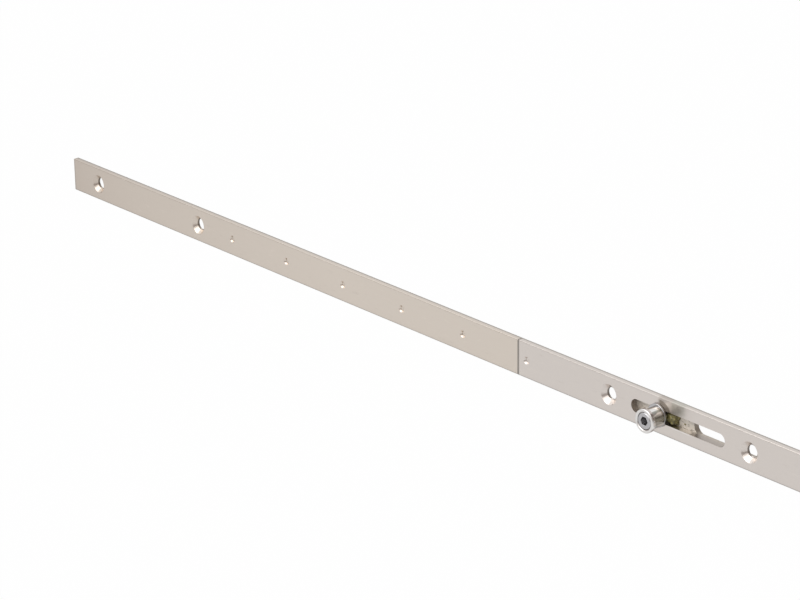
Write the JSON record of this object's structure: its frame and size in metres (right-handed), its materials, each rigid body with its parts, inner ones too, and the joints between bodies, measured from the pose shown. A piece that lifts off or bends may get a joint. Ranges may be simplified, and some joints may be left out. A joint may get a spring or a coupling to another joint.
{
  "type": "multipoint door lock",
  "caption": "Long flat door lock with roller cams along a slotted steel face strip, a slim centre case with latch and deadbolt, and drive rods behind.",
  "frame": {"origin": "centre of the spindle follower, on its axis and at mid thickness of the case", "axes": "+X along the strip, down the door when fitted; +Y into the door leaf; +Z across the strip's width; the lock lies on its side"},
  "size_m": [2.17, 0.064, 0.016],
  "materials": {
    "strip_steel": "satin silver",
    "rod_steel": "zinc plated, lightly greased",
    "roller_steel": "turned and polished",
    "pin_steel": "turned",
    "case_steel": "galvanised sheet",
    "bolt_metal": "nickel plated",
    "gear_metal": "sintered",
    "screw_steel": "bright zinc",
    "spring_steel": "spring wire",
    "guide_plastic": "moulded"
  },
  "bodies": {
    "lock": {"faceplate_extension_upper": "strip_steel", "faceplate_main": "strip_steel", "faceplate_extension_lower": "strip_steel", "splice_bar_upper": "case_steel", "splice_bar_lower": "case_steel", "splice_rivets_upper": "strip_steel", "splice_rivets_lower": "strip_steel", "case_body": "case_steel", "case_cover": "case_steel", "case_cover_screws": "screw_steel", "case_block_upper": "gear_metal", "case_block_lower": "gear_metal", "case_fixing_screws": "screw_steel", "latch_spring": "spring_steel", "latch_guide": "guide_plastic", "deadbolt_guide": "guide_plastic", "deadbolt_guide_post": "pin_steel", "gear_axle_upper": "pin_steel", "gear_axle_lower": "pin_steel", "cylinder_screw": "screw_steel", "rod_guide_1": "case_steel", "rod_guide_2": "case_steel", "rod_guide_3": "case_steel", "rod_guide_4": "case_steel", "rod_guide_5": "case_steel", "rod_guide_6": "case_steel", "rod_guide_7": "case_steel", "rod_guide_8": "case_steel"},
    "drive": {"drive_rod_upper": "rod_steel", "drive_rod_lower": "rod_steel", "drive_plate": "rod_steel", "drive_rivets": "screw_steel"},
    "follower": {"follower": "gear_metal"},
    "latch": {"latch": "bolt_metal"},
    "deadbolt": {"deadbolt": "bolt_metal", "deadbolt_pin": "pin_steel"},
    "gear_upper": {"gear_upper": "gear_metal"},
    "gear_lower": {"gear_lower": "gear_metal"},
    "eccentric_1": {"roller_pin_1": "pin_steel", "roller_washer_1": "pin_steel"},
    "roller_1": {"roller_1": "roller_steel"},
    "eccentric_2": {"roller_pin_2": "pin_steel", "roller_washer_2": "pin_steel"},
    "roller_2": {"roller_2": "roller_steel"},
    "eccentric_3": {"roller_pin_3": "pin_steel", "roller_washer_3": "pin_steel"},
    "roller_3": {"roller_3": "roller_steel"},
    "eccentric_4": {"roller_pin_4": "pin_steel", "roller_washer_4": "pin_steel"},
    "roller_4": {"roller_4": "roller_steel"}
  },
  "joints": [
    {"name": "drive_slide", "type": "slide", "parent": "lock", "child": "drive", "axis": [1, 0, 0], "range_m": [0, 0.02]},
    {"name": "follower_turn", "type": "hinge", "parent": "lock", "child": "follower", "pos_m": [0, 0, 0], "axis": [0, 0, -1], "range_deg": [0, 45.4]},
    {"name": "latch_slide", "type": "slide", "parent": "lock", "child": "latch", "axis": [0, 1, 0], "range_m": [0, 0.01225], "stiffness_N_per_m": 400, "springref_m": -0.01, "deforming": ["latch_spring"]},
    {"name": "deadbolt_slide", "type": "slide", "parent": "lock", "child": "deadbolt", "axis": [0, -1, 0], "range_m": [0, 0.02]},
    {"name": "gear_upper_turn", "type": "hinge", "parent": "lock", "child": "gear_upper", "pos_m": [0.08115, -0.016, 0], "axis": [0, 0, 1], "range_deg": [0, 152.8]},
    {"name": "gear_lower_turn", "type": "hinge", "parent": "lock", "child": "gear_lower", "pos_m": [0.1, -0.016, 0], "axis": [0, 0, 1], "range_deg": [0, 152.8]},
    {"name": "eccentric_1_turn", "type": "hinge", "parent": "drive", "child": "eccentric_1", "pos_m": [-0.71675, -0.0306, 0], "axis": [0, -1, 0], "continuous": true},
    {"name": "roller_1_spin", "type": "hinge", "parent": "eccentric_1", "child": "roller_1", "pos_m": [-0.716, -0.04, 0], "axis": [0, -1, 0], "continuous": true},
    {"name": "eccentric_2_turn", "type": "hinge", "parent": "drive", "child": "eccentric_2", "pos_m": [-0.38075, -0.0306, 0], "axis": [0, -1, 0], "continuous": true},
    {"name": "roller_2_spin", "type": "hinge", "parent": "eccentric_2", "child": "roller_2", "pos_m": [-0.38, -0.04, 0], "axis": [0, -1, 0], "continuous": true},
    {"name": "eccentric_3_turn", "type": "hinge", "parent": "drive", "child": "eccentric_3", "pos_m": [0.39925, -0.0306, 0], "axis": [0, -1, 0], "continuous": true},
    {"name": "roller_3_spin", "type": "hinge", "parent": "eccentric_3", "child": "roller_3", "pos_m": [0.4, -0.04, 0], "axis": [0, -1, 0], "continuous": true},
    {"name": "eccentric_4_turn", "type": "hinge", "parent": "drive", "child": "eccentric_4", "pos_m": [0.71525, -0.0306, 0], "axis": [0, -1, 0], "continuous": true},
    {"name": "roller_4_spin", "type": "hinge", "parent": "eccentric_4", "child": "roller_4", "pos_m": [0.716, -0.04, 0], "axis": [0, -1, 0], "continuous": true}
  ],
  "couplings": [
    {"joint": "gear_upper_turn", "follows": "drive_slide", "rad_per_m": 133.33},
    {"joint": "gear_lower_turn", "follows": "drive_slide", "rad_per_m": 133.33},
    {"joint": "deadbolt_slide", "follows": "drive_slide", "ratio": 1},
    {"joint": "follower_turn", "follows": "latch_slide", "rad_per_m": 64.136}
  ]
}
